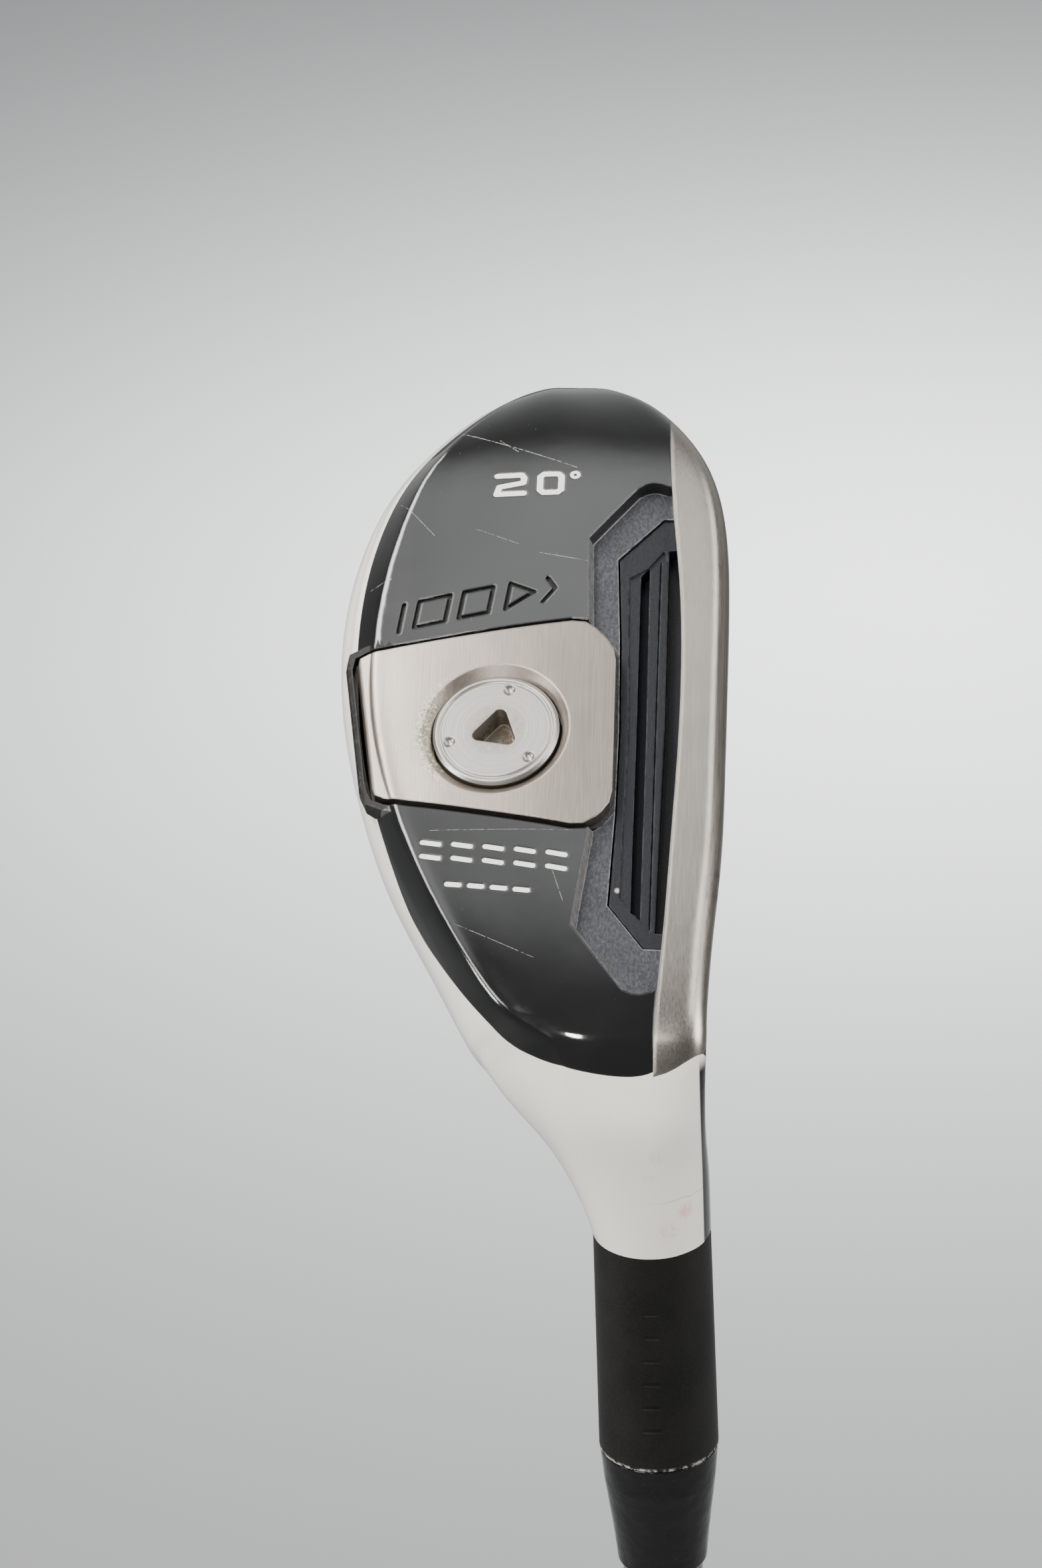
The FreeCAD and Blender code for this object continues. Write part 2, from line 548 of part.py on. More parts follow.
save("tip_weight", lathe([(0, TIP_Z - 26), (TIP_R - SHAFT_WALL, TIP_Z - 26), (TIP_R - SHAFT_WALL, TIP_Z),
                          (0, TIP_Z)]))


def shaft_radius(z):
    if z < 90:
        return BUTT_R
    return BUTT_R + (TIP_R - BUTT_R) * (z - 90.0) / 780.0


TAPE = 0.35
tape_end = GRIP_LENGTH - 3
save("grip_tape", lathe([(BUTT_R, BUTT_Z), (BUTT_R + TAPE, BUTT_Z), (BUTT_R + TAPE, 90),
                         (shaft_radius(tape_end) + TAPE, tape_end), (shaft_radius(tape_end), tape_end),
                         (BUTT_R, 90)]))
CAP_Z = 9.0
inner_r = BUTT_R + TAPE
end_r = shaft_radius(tape_end) + TAPE
sleeve = lathe([(inner_r, CAP_Z), (13.1, CAP_Z), (12.9, 30), (12.2, 90), (10.6, 190),
                (9.3, GRIP_LENGTH - 2.2), (8.9, GRIP_LENGTH - 0.4),
                (shaft_radius(GRIP_LENGTH) + 0.05, GRIP_LENGTH),
                (shaft_radius(GRIP_LENGTH) + 0.05, tape_end), (end_r, tape_end), (inner_r, 90)])
save("grip_sleeve", sleeve)
VENT_R = 1.75
cap = lathe([(VENT_R, 0), (9.0, 0), (12.2, 0.7), (13.3, 2.2), (CAP_R, 4.4), (13.5, 7.2), (13.1, CAP_Z),
             (inner_r, CAP_Z), (inner_r, BUTT_Z), (VENT_R, BUTT_Z)])
save("grip_cap", cap)
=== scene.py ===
import math

import bmesh
import bpy
from mathutils import Matrix, Vector


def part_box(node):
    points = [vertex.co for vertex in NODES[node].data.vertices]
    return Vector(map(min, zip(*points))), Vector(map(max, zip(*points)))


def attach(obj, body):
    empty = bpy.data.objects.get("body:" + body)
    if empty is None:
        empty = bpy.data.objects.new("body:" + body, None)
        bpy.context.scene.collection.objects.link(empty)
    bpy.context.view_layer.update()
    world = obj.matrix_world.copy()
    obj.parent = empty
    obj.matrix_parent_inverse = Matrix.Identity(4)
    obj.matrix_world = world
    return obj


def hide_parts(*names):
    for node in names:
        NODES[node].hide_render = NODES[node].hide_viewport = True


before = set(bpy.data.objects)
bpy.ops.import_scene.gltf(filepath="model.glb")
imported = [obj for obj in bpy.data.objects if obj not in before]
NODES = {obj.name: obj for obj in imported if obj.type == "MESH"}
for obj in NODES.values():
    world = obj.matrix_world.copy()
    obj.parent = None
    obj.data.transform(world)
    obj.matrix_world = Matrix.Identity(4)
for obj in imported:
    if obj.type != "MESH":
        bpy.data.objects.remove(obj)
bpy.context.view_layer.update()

MM = 0.001

# ---- head frame: A towards the toe, F the way the face looks, U up at address; millimetres ----
LIE = math.radians(59.0)
GROUND_MM = 1022
GROUND = Vector((0, 0, GROUND_MM * MM))
AXIS_A = Vector((0, math.sin(LIE), math.cos(LIE)))
AXIS_F = Vector((1, 0, 0))
AXIS_U = Vector((0, math.cos(LIE), -math.sin(LIE)))

WEIGHT_A, WEIGHT_F = 33.7, -17.7
HOSEL_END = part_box("hosel_tube")[0].z
NECK_TOP = 1012.0


def to_head(p):
    """A, F and U of a point of the row frame."""
    q = (p - GROUND) / MM
    return q.dot(AXIS_A), q.dot(AXIS_F), q.dot(AXIS_U)


def between(points, x):
    """The value at x on straight lines through the points."""
    for (x0, y0), (x1, y1) in zip(points, points[1:]):
        if x <= x1:
            break
    return y0 + (y1 - y0) * (x - x0) / (x1 - x0)


# ---- camera: in front of the sole, a little above the toe ----
CAMERA_FROM_HOSEL = Vector((0.03654, -0.61663, 0.39353))
PITCH, YAW, ROLL = (math.radians(angle) for angle in (26.53, -4.57, -2.42))
LENS, SENSOR_HEIGHT = 96.65, 24.0


def add_camera():
    camera = bpy.data.objects.new("camera", bpy.data.cameras.new("camera"))
    bpy.context.scene.collection.objects.link(camera)
    camera.data.sensor_fit = "VERTICAL"
    camera.data.sensor_height = SENSOR_HEIGHT
    camera.data.lens = LENS
    camera.data.clip_start = 0.02
    camera.data.clip_end = 60
    look = Vector((math.sin(YAW) * math.cos(PITCH), math.cos(YAW) * math.cos(PITCH), -math.sin(PITCH)))
    level = Vector((math.cos(YAW), -math.sin(YAW), 0))
    above = level.cross(look)
    right = level * math.cos(ROLL) + above * math.sin(ROLL)
    up = above * math.cos(ROLL) - level * math.sin(ROLL)
    turn = Matrix((right, up, -look)).transposed()
    place = Vector((0, 0, HOSEL_END)) + CAMERA_FROM_HOSEL
    camera.matrix_world = Matrix.Translation(place) @ turn.to_4x4()
    bpy.context.scene.camera = camera


# ---- light: two long soft boxes over the head, three small fills, one lamp for the floor behind ----
HEAD = Vector((0, 0.03, 1.03))
BEHIND = Vector((0, 2.35, 0))
WARM = (1.0, 0.985, 0.95)


def add_light(name, place, size, power, colour=WARM, aim=HEAD):
    light = bpy.data.lights.new(name, "AREA")
    light.shape = "RECTANGLE"
    light.size, light.size_y = size
    light.energy = power
    light.color = colour
    holder = bpy.data.objects.new(name, light)
    bpy.context.scene.collection.objects.link(holder)
    holder.location = place
    holder.rotation_euler = (aim - Vector(place)).to_track_quat("-Z", "Y").to_euler()


def add_lights():
    add_light("left", (-0.60, 0.04, 2.04), (1.75, 0.34), 30)
    add_light("left fill", (-1.05, -0.43, 1.17), (0.34, 0.22), 9, (1.0, 0.985, 0.94))
    add_light("right", (0.68, 0.06, 1.99), (1.24, 0.25), 7, (1.0, 0.99, 0.97))
    add_light("right fill", (1.12, -0.16, 1.36), (0.62, 0.68), 12)
    add_light("front", (-0.22, -0.93, 1.73), (0.16, 0.14), 7)
    add_light("backdrop", (0.0, 2.3, 0.6), (0.4, 0.4), 26, (1, 1, 1), BEHIND)


# ---- a small kit for node trees ----
class Kit:
    """Builds a node tree by formula: each call adds a node and gives its output."""

    def __init__(self, tree):
        self.tree = tree

    def put(self, socket, value):
        """Links a socket, or sets its value."""
        if isinstance(value, bpy.types.NodeSocket):
            self.tree.links.new(value, socket)
        elif isinstance(value, tuple) and socket.type == "RGBA":
            socket.default_value = (*value, 1)
        else:
            socket.default_value = value

    def node(self, kind, values=(), **settings):
        made = self.tree.nodes.new("ShaderNode" + kind)
        for key, value in settings.items():
            setattr(made, key, value)
        for key, value in dict(values).items():
            self.put(made.inputs[key], value)
        return made

    def vec(self, how, a, b=(0, 0, 0), out="Vector"):
        return self.node("VectorMath", {0: a, 1: b}, operation=how).outputs[out]

    def split(self, vector):
        return self.node("SeparateXYZ", {0: vector}).outputs

    def math(self, how, a, b=0.0, c=0.0, clamp=False):
        return self.node("Math", {0: a, 1: b, 2: c}, operation=how, use_clamp=clamp).outputs[0]

    def times(self, first, *others):
        for other in others:
            first = self.math("MULTIPLY", first, other)
        return first

    def noise(self, vector, scale=1.0, detail=3.0, rough=0.5, stretch=None, warp=0.0):
        if stretch:
            vector = self.vec("MULTIPLY", vector, stretch)
        values = {"Vector": vector, "Scale": scale, "Detail": detail, "Roughness": rough, "Distortion": warp}
        return self.node("TexNoise", values).outputs[0]

    def span(self, value, low, high, a=0.0, b=1.0, curve="SMOOTHSTEP"):
        """From a to b as the value goes from low to high."""
        values = {"Value": value, "From Min": low, "From Max": high, "To Min": a, "To Max": b}
        return self.node("MapRange", values, interpolation_type=curve).outputs[0]

    def mix(self, fac, a, b):
        """Mixes two colours."""
        made = self.node("Mix", {0: fac, 6: a, 7: b}, data_type="RGBA")
        return made.outputs[2]

    def blend(self, fac, a, b):
        """Mixes two numbers."""
        made = self.node("Mix", {0: fac, 2: a, 3: b}, data_type="FLOAT")
        return made.outputs[0]


def add_world():
    """A dim room: one soft bright patch overhead, a little behind the head, and a pale wall beyond it."""
    world = bpy.data.worlds.new("world")
    bpy.context.scene.world = world
    world.use_nodes = True
    k = Kit(world.node_tree)
    way = k.node("TexCoord").outputs["Generated"]
    _, y, z = k.split(way)
    off = k.vec("MULTIPLY", k.vec("SUBTRACT", way, (0.0, 0.14, 0.0)), (1 / 0.62, 1 / 0.36, 0.0))
    patch = k.span(k.vec("LENGTH", off, out="Value"), 0.25, 1.15, 1.9, 0.14)
    overhead = k.span(z, 0.0, 0.3, 0.14, 4.0, "LINEAR")
    wall = k.span(y, 0.45, 0.9, 0.0, 0.42)
    background = world.node_tree.nodes["Background"]
    k.put(background.inputs["Color"], (0.98, 0.99, 1.0))
    k.put(background.inputs["Strength"], k.math("ADD", k.math("MINIMUM", patch, overhead), wall))


class Look(Kit):
    """One material: noise, masks and wear built from object coordinates, all in millimetres."""

    def __init__(self, name):
        self.material = bpy.data.materials.new(name)
        self.material.use_nodes = True
        super().__init__(self.material.node_tree)
        self.shader = self.tree.nodes["Principled BSDF"]

    def row(self):
        """Coordinates of the row frame."""
        return self.vec("MULTIPLY", self.node("TexCoord").outputs["Object"], (1000, 1000, 1000))

    def head(self):
        """Coordinates of the head frame."""
        q = self.vec("SUBTRACT", self.row(), (0, 0, GROUND_MM))
        parts = [self.vec("DOT_PRODUCT", q, tuple(axis), out="Value") for axis in (AXIS_A, AXIS_F, AXIS_U)]
        return self.node("CombineXYZ", dict(enumerate(parts))).outputs[0]

    def line_mask(self, vector, p, q, width):
        """1 on the segment from p to q, in the first two coordinates, falling to 0 over its width."""
        flat = self.vec("MULTIPLY", vector, (1, 1, 0))
        d = Vector((q[0] - p[0], q[1] - p[1], 0))
        rel = self.vec("SUBTRACT", flat, (p[0], p[1], 0))
        dot = self.vec("DOT_PRODUCT", rel, tuple(d), out="Value")
        along = self.math("DIVIDE", dot, d.length_squared, clamp=True)
        nearest = self.node("VectorMath", {0: tuple(d), "Scale": along}, operation="SCALE").outputs[0]
        return self.span(self.vec("DISTANCE", rel, nearest, out="Value"), width / 2, width, 1.0, 0.0)

    def spot(self, vector, centre, radius):
        """1 at the centre, falling to 0 at the radius."""
        dist = self.vec("DISTANCE", vector, centre, out="Value")
        return self.span(dist, radius * 0.2, radius, 1.0, 0.0)

    def rounded(self, radius):
        """The normal with sharp edges rounded."""
        return self.node("Bevel", {"Radius": radius * MM}, samples=4).outputs[0]

    def edges(self, radius):
        """1 along sharp edges."""
        true = self.node("NewGeometry").outputs["True Normal"]
        turned = self.vec("DOT_PRODUCT", self.rounded(radius), true, out="Value")
        return self.span(turned, 0.75, 0.98, 1.0, 0.0)

    def finish(self, base, metal, rough, height, depth, coat=0.0, coat_rough=0.05, ior=1.5, round_edges=0.0):
        """Sets the shader: depth is the relief that the height's 0 to 1 stands for."""
        shader = self.shader.inputs
        for key, value in (("Base Color", base), ("Metallic", metal), ("Roughness", rough), ("IOR", ior),
                           ("Coat Weight", coat), ("Coat Roughness", coat_rough)):
            self.put(shader[key], value)
        relief = {"Strength": 1.0, "Distance": depth * MM, "Height": height}
        if round_edges:
            relief["Normal"] = self.rounded(round_edges)
            self.put(shader["Coat Normal"], relief["Normal"])
        self.put(shader["Normal"], self.node("Bump", relief).outputs[0])
        return self.material


# ---- paints ----
# stains on the neck: place in the row frame, radius, colour, strength
STAINS = [((4.3, -5.2, 995.6), 1.6, (0.85, 0.36, 0.32), 0.6),
          ((2.2, -6.3, 993.4), 1.6, (0.62, 0.5, 0.25), 0.4),
          ((1.2, -6.6, 1003.0), 1.3, (0.55, 0.5, 0.3), 0.35),
          ((0.2, -6.8, 1000.6), 1.0, (0.55, 0.52, 0.36), 0.3)]
CRACK_HEIGHT = 996.6
NECK_BLACK_FROM = 5.95

# scratches on the sole: both ends as (A, F), and width
SCRATCHES = [((78.0, -23.6), (71.4, -9.6), 0.08), ((76.2, -18.8), (74.2, -16.6), 0.08),
             ((68.0, -30.5), (62.0, -26.0), 0.05), ((58.6, -13.6), (57.2, -7.6), 0.06),
             ((55.2, -33.2), (56.0, -30.8), 0.08), ((62.5, -21.0), (60.0, -16.0), 0.04),
             ((8.5, -21.5), (4.0, -12.5), 0.05), ((16.0, -11.0), (11.0, -9.4), 0.05),
             ((20.8, -24.8), (20.2, -8.6), 0.04)]


def white_paint():
    k = Look("white_paint")
    row = k.row()
    x, _, z = k.split(row)
    base = k.mix(k.span(k.noise(row, 0.05, 2), 0.35, 0.65), (0.95, 0.93, 0.865), (0.91, 0.885, 0.81))
    grime = k.span(k.noise(row, 0.35, 6, 0.65, warp=0.6), 0.60, 0.78)
    base = k.mix(k.times(grime, 0.3), base, (0.74, 0.68, 0.52))
    cloud = k.span(k.noise(row, 1.1, 4, 0.6, warp=1.0), 0.35, 0.6)
    for centre, radius, colour, amount in STAINS:
        base = k.mix(k.times(k.spot(row, centre, radius), cloud, amount), base, colour)
    wander = k.math("MULTIPLY_ADD", k.noise(row, 0.4, 3), 1.2, CRACK_HEIGHT)
    crack = k.span(k.math("ABSOLUTE", k.math("SUBTRACT", z, wander)), 0.02, 0.10, 1.0, 0.0)
    base = k.mix(k.times(crack, k.span(x, -2.0, 5.0, 0.0, 0.5)), base, (0.35, 0.28, 0.2))
    specks = k.span(k.noise(row, 2.4, 2), 0.74, 0.80)
    base = k.mix(k.times(specks, 0.35), base, (0.35, 0.3, 0.24))
    # the side of the neck that the face is on is black
    side = k.span(x, NECK_BLACK_FROM, NECK_BLACK_FROM + 0.15)
    neck = k.span(z, NECK_TOP, NECK_TOP + 2.0, 1.0, 0.0)
    base = k.mix(k.times(side, neck), base, (0.012, 0.012, 0.013))
    rough = k.math("MULTIPLY_ADD", k.noise(row, 0.3, 4), 0.12, 0.16)
    return k.finish(base, 0.0, rough, k.noise(row, 0.9, 2), 0.02, coat=0.6, coat_rough=0.06)


def black_paint():
    k = Look("black_paint")
    head = k.head()
    base = k.mix(k.span(k.noise(head, 0.08, 3), 0.3, 0.7), (0.006, 0.006, 0.0065), (0.010, 0.010, 0.0105))
    marks = 0.0
    for p, q, width in SCRATCHES:
        marks = k.math("MAXIMUM", marks, k.line_mask(head, p, q, width))
    marks = k.times(marks, k.span(k.noise(head, 1.6, 4, 0.7), 0.38, 0.62), 0.6)
    hair = k.times(k.span(k.noise(head, 1.0, 6, 0.6, stretch=(0.25, 3.2, 1)), 0.70, 0.76), 0.10)
    dust = k.times(k.span(k.noise(head, 3.5, 2), 0.76, 0.80), 0.25)
    wear = k.math("MAXIMUM", marks, k.math("MAXIMUM", hair, dust))
    base = k.mix(wear, base, (0.32, 0.31, 0.29))
    rough = k.math("MULTIPLY_ADD", k.noise(head, 0.2, 5), 0.10, 0.05)
    rough = k.math("MAXIMUM", rough, k.times(wear, 0.5))
    height = k.math("SUBTRACT", k.times(k.noise(head, 0.7, 2), 0.25), marks)
    return k.finish(base, 0.0, rough, height, 0.03, coat=1.0, coat_rough=0.03, ior=1.55, round_edges=0.35)


def matt_black():
    """The bare black of the pad's lip and of the engraving, with dirt in it."""
    k = Look("matt_black")
    head = k.head()
    grime = k.span(k.noise(head, 1.4, 5, 0.7), 0.5, 0.72, 0.0, 0.6)
    base = k.mix(grime, (0.010, 0.010, 0.010), (0.075, 0.066, 0.050))
    rough = k.math("MULTIPLY_ADD", grime, 0.2, 0.5)
    return k.finish(base, 0.0, rough, k.noise(head, 3.0, 3), 0.04, ior=1.3)


def mark_paint():
    k = Look("mark_white")
    head = k.head()
    chip = k.span(k.noise(head, 2.2, 4, 0.7), 0.62, 0.70, 0.0, 0.7)
    base = k.mix(chip, (0.82, 0.81, 0.77), (0.30, 0.29, 0.27))
    return k.finish(base, 0.0, 0.4, k.noise(head, 3.0, 3), 0.03, coat=0.2)


def hosel_black():
    k = Look("hosel_black")
    row = k.row()
    z = k.split(row)[2]
    grain = k.noise(row, 3.0, 4, 0.6)
    base = k.mix(k.span(k.noise(row, 0.12, 3), 0.3, 0.7), (0.006, 0.0058, 0.0056), (0.011, 0.0105, 0.010))
    base = k.mix(k.span(grain, 0.45, 0.8, 0.0, 0.4), base, (0.020, 0.019, 0.018))
    end = HOSEL_END / MM
    rim = k.times(k.span(z, end + 0.05, end + 0.45, 1.0, 0.0), k.span(k.noise(row, 1.3, 4, 0.7), 0.42, 0.58))
    base = k.mix(rim, base, (0.48, 0.46, 0.43))
    rough = k.math("MULTIPLY_ADD", grain, 0.12, 0.42)
    return k.finish(base, 0.0, rough, grain, 0.04, ior=1.32, round_edges=0.15)


def gloss_black():
    k = Look("ferrule_black")
    row = k.row()
    base = k.mix(k.span(k.noise(row, 2.5, 3), 0.7, 0.78), (0.008, 0.008, 0.009), (0.06, 0.055, 0.05))
    rough = k.span(k.noise(row, 0.5, 4, 0.6, warp=1.5), 0.4, 0.7, 0.05, 0.22)
    return k.finish(base, 0.0, rough, k.noise(row, 0.35, 3), 0.15, ior=1.36, round_edges=0.2)


# ---- metals ----
# chips in the leading edge: A, F and radius
CHIPS = [(15.4, 7.6, 0.9), (13.2, 7.5, 0.8), (12.4, 6.6, 0.5)]


def blasted():
    k = Look("blasted")
    head = k.head()
    grain = k.noise(head, 3.4, 5, 0.75, stretch=(0.6, 1.0, 1.0))
    base = k.mix(k.span(grain, 0.35, 0.68), (0.030, 0.032, 0.037), (0.085, 0.088, 0.098))
    base = k.mix(k.span(k.noise(head, 0.25, 3), 0.35, 0.7, 0.0, 0.4), base, (0.030, 0.031, 0.034))
    worn = k.times(k.edges(0.3), k.span(k.noise(head, 1.2, 4, 0.7), 0.3, 0.55))
    base = k.mix(worn, base, (0.36, 0.355, 0.34))
    return k.finish(base, 0.55, k.blend(worn, 0.62, 0.4), grain, 0.08, round_edges=0.15)


# Worn grey metal for the channel's sloping walls. It goes only on walls that do not face the heel, so it is
# also a painted lit side of those walls.
def worn_and_lit_wall():
    k = Look("worn_and_lit_wall")
    head = k.head()
    patch = k.span(k.noise(head, 1.3, 5, 0.7), 0.30, 0.62)
    base = k.mix(patch, (0.12, 0.12, 0.125), (0.24, 0.235, 0.23))
    return k.finish(base, 0.6, 0.48, k.noise(head, 3.0, 3), 0.05, round_edges=0.25)


def brushed(k, head, light, dark, chips=()):
    """Steel brushed along A: its colour, its brush lines, and the nicks in it."""
    fine = k.noise(head, 1.4, 6, 0.62, stretch=(0.03, 5.0, 5.0))
    base = k.mix(k.span(fine, 0.25, 0.75), dark, light)
    base = k.mix(k.span(k.noise(head, 0.16, 3), 0.3, 0.75, 0.0, 0.35), base, tuple(c * 0.8 for c in dark))
    stain = k.span(k.noise(head, 0.5, 5, 0.6, warp=0.8), 0.66, 0.80, 0.0, 0.35)
    base = k.mix(stain, base, (0.36, 0.31, 0.24))
    nick = k.times(k.span(k.noise(head, 1.5, 3, stretch=(0.5, 2.2, 1)), 0.74, 0.78), 0.5)
    for a, f, r in chips:
        ragged = k.span(k.noise(head, 2.6, 4, 0.7), 0.36, 0.52)
        chip = k.spot(k.vec("MULTIPLY", head, (0.6, 1, 0.4)), (a * 0.6, f, 1.6), r)
        nick = k.math("MAXIMUM", nick, k.times(chip, ragged))
    base = k.mix(nick, base, (0.10, 0.09, 0.08))
    height = k.math("SUBTRACT", k.times(fine, 0.35), nick)
    return base, fine, height


def pad_steel():
    k = Look("pad_steel")
    head = k.head()
    base, fine, height = brushed(k, head, (0.355, 0.310, 0.274), (0.292, 0.254, 0.223))
    # dried dirt on the trailing side of the weight's seat
    away = k.vec("MULTIPLY", k.vec("SUBTRACT", head, (WEIGHT_A, WEIGHT_F, 0)), (1, 1, 0))
    radius = k.vec("LENGTH", away, out="Value")
    ring = k.times(k.span(radius, 7.3, 7.9), k.span(radius, 8.6, 9.9, 1.0, 0.0))
    side = k.span(k.split(away)[1], -7.6, -4.5, 1.0, 0.0)
    crust = k.times(ring, side, k.span(k.noise(head, 1.5, 5, 0.7), 0.42, 0.58))
    dirt = k.mix(k.span(k.noise(head, 2.6, 3), 0.4, 0.6), (0.22, 0.20, 0.13), (0.60, 0.57, 0.46))
    base = k.mix(crust, base, dirt)
    metal = k.math("SUBTRACT", 1.0, k.times(crust, 0.9))
    rough = k.math("MAXIMUM", k.math("MULTIPLY_ADD", fine, 0.22, 0.27), k.times(crust, 0.8))
    return k.finish(base, metal, rough, height, 0.02, round_edges=0.35)


def face_steel():
    k = Look("face_steel")
    head = k.head()
    base, fine, height = brushed(k, head, (0.43, 0.392, 0.352), (0.37, 0.336, 0.302), CHIPS)
    # the face itself, above the bright strip along the leading edge, is black
    front = k.span(k.split(head)[2], 5.6, 6.0)
    base = k.mix(front, base, (0.018, 0.018, 0.019))
    metal = k.math("SUBTRACT", 1.0, k.times(front, 0.85))
    rough = k.blend(front, k.math("MULTIPLY_ADD", fine, 0.22, 0.19), 0.34)
    return k.finish(base, metal, rough, height, 0.02, round_edges=0.7)


def screw_steel():
    k = Look("screw_steel")
    head = k.head()
    flat = k.vec("MULTIPLY", k.vec("SUBTRACT", head, (WEIGHT_A, WEIGHT_F, 0)), (1, 1, 0))
    radius = k.vec("LENGTH", flat, out="Value")
    rings = k.noise(k.node("CombineXYZ", {0: radius}).outputs[0], 5.0, 3)
    base = k.mix(k.span(rings, 0.3, 0.7), (0.345, 0.333, 0.312), (0.415, 0.40, 0.375))
    base = k.mix(k.span(k.noise(head, 0.5, 4), 0.4, 0.7, 0.0, 0.3), base, (0.34, 0.325, 0.295))
    deep = k.span(k.split(head)[2], 0.9, 2.2)
    around = k.times(k.span(radius, 2.4, 4.2, 1.0, 0.0), 0.35)
    dirt = k.times(k.math("MAXIMUM", deep, around), k.span(k.noise(head, 1.6, 5, 0.7), 0.3, 0.6))
    base = k.mix(dirt, base, (0.14, 0.10, 0.06))
    base = k.mix(k.times(k.edges(0.3), 0.6), base, (0.78, 0.77, 0.75))
    rough = k.math("MULTIPLY_ADD", rings, 0.15, 0.30)
    rough = k.math("MAXIMUM", rough, k.times(dirt, 0.75))
    metal = k.math("SUBTRACT", 1.0, k.times(dirt, 0.8))
    return k.finish(base, metal, rough, rings, 0.015, round_edges=0.25)


# ---- plastics, graphite and rubber ----
FLECK = (13.4, -3.4, 2.4)
SHAFT_BANDS = ((700, 5), (380, 4))  # height from the butt, width


def insert_polymer():
    k = Look("insert_polymer")
    head = k.head()
    grain = k.noise(head, 4.0, 4, 0.7)
    base = k.mix(k.span(grain, 0.3, 0.7), (0.006, 0.007, 0.009), (0.014, 0.016, 0.020))
    dust = k.times(k.edges(0.3), k.span(k.noise(head, 0.8, 4), 0.35, 0.65), 0.45)
    base = k.mix(dust, base, (0.14, 0.15, 0.17))
    base = k.mix(k.spot(head, FLECK, 0.45), base, (0.5, 0.44, 0.36))
    rough = k.math("MULTIPLY_ADD", grain, 0.2, 0.40)
    return k.finish(base, 0.0, rough, grain, 0.04, ior=1.31, round_edges=0.3)


def lacquered_shaft():
    k = Look("graphite")
    row = k.row()
    x, y, z = k.split(row)
    turn = k.times(k.math("ARCTAN2", y, x), 2.2)
    wrap = k.vec("MULTIPLY", k.node("CombineXYZ", {0: turn, 1: z}).outputs[0], (6, 1.2, 1))
    weave = k.node("TexWave", {"Vector": wrap, "Scale": 1.2, "Distortion": 0.6, "Detail": 2.0,
                               "Detail Scale": 3.0}, bands_direction="DIAGONAL").outputs[1]
    base = k.mix(k.span(weave, 0.2, 0.8), (0.012, 0.013, 0.015), (0.035, 0.037, 0.041))
    bands = [k.times(k.span(z, low, low + 1), k.span(z, low + width - 1, low + width, 1.0, 0.0))
             for low, width in SHAFT_BANDS]
    base = k.mix(k.math("MAXIMUM", *bands), base, (0.45, 0.45, 0.46))
    rough = k.math("MULTIPLY_ADD", k.noise(row, 0.1, 4), 0.08, 0.16)
    return k.finish(base, 0.2, rough, weave, 0.01, coat=0.8)


def rubber(name, low, high):
    k = Look(name)
    row = k.row()
    grain = k.noise(row, 3.2, 4, 0.7)
    base = k.mix(k.span(k.noise(row, 0.05, 4), 0.3, 0.7), low, high)
    base = k.mix(k.times(k.edges(0.5), 0.35), base, tuple(c * 3 for c in high))
    return k.finish(base, 0.0, k.math("MULTIPLY_ADD", grain, 0.2, 0.6), grain, 0.05, round_edges=0.3)


def inner(name, low, high, metal, rough, scale=0.4, stretch=None):
    """Pieces inside the club: two tones, mottled, with a little grain."""
    k = Look(name)
    tone = k.noise(k.row(), scale, 5, 0.6, stretch=stretch)
    base = k.mix(k.span(tone, 0.3, 0.7), low, high)
    return k.finish(base, metal, k.math("MULTIPLY_ADD", tone, 0.2, rough - 0.1), tone, 0.04)


def paper():
    k = Look("paper")
    row = k.row()
    base = k.mix(k.noise(row, 0.004, 3), (0.37, 0.376, 0.382), (0.39, 0.396, 0.402))
    return k.finish(base, 0.0, 0.85, k.noise(row, 1.5, 3), 0.05)


def dress():
    """Gives every CAD piece its material."""
    white = white_paint()
    looks = {
        "head_body": white,
        "crown_plate": white,
        "face_cup": face_steel(),
        "sole_plate": black_paint(),
        "slot_insert": insert_polymer(),
        "weight_pad": pad_steel(),
        "weight_screw": screw_steel(),
        "weight_boss": inner("boss_steel", (0.16, 0.14, 0.11), (0.40, 0.38, 0.35), 0.9, 0.5),
        "weight_washer": inner("washer_nylon", (0.55, 0.52, 0.45), (0.68, 0.66, 0.60), 0.0, 0.5),
        "pad_adhesive": inner("adhesive", (0.05, 0.05, 0.045), (0.10, 0.095, 0.085), 0.0, 0.6),
        "loft_mark": mark_paint(),
        "name_marks": mark_paint(),
        "hosel_tube": hosel_black(),
        "ferrule": gloss_black(),
        "shaft": lacquered_shaft(),
        "hosel_epoxy": inner("epoxy", (0.42, 0.38, 0.26), (0.55, 0.50, 0.36), 0.0, 0.35),
        "tip_weight": inner("brass", (0.55, 0.40, 0.16), (0.72, 0.55, 0.25), 1.0, 0.35, 1.0, (1, 1, 0.1)),
        "grip_tape": inner("tape", (0.60, 0.57, 0.48), (0.70, 0.68, 0.60), 0.0, 0.7),
        "grip_sleeve": rubber("grip_rubber", (0.012, 0.012, 0.013), (0.022, 0.022, 0.023)),
        "grip_cap": rubber("cap_rubber", (0.016, 0.016, 0.017), (0.026, 0.026, 0.027)),
    }
    for name, node in NODES.items():
        node.data.materials.clear()
        node.data.materials.append(looks[name])


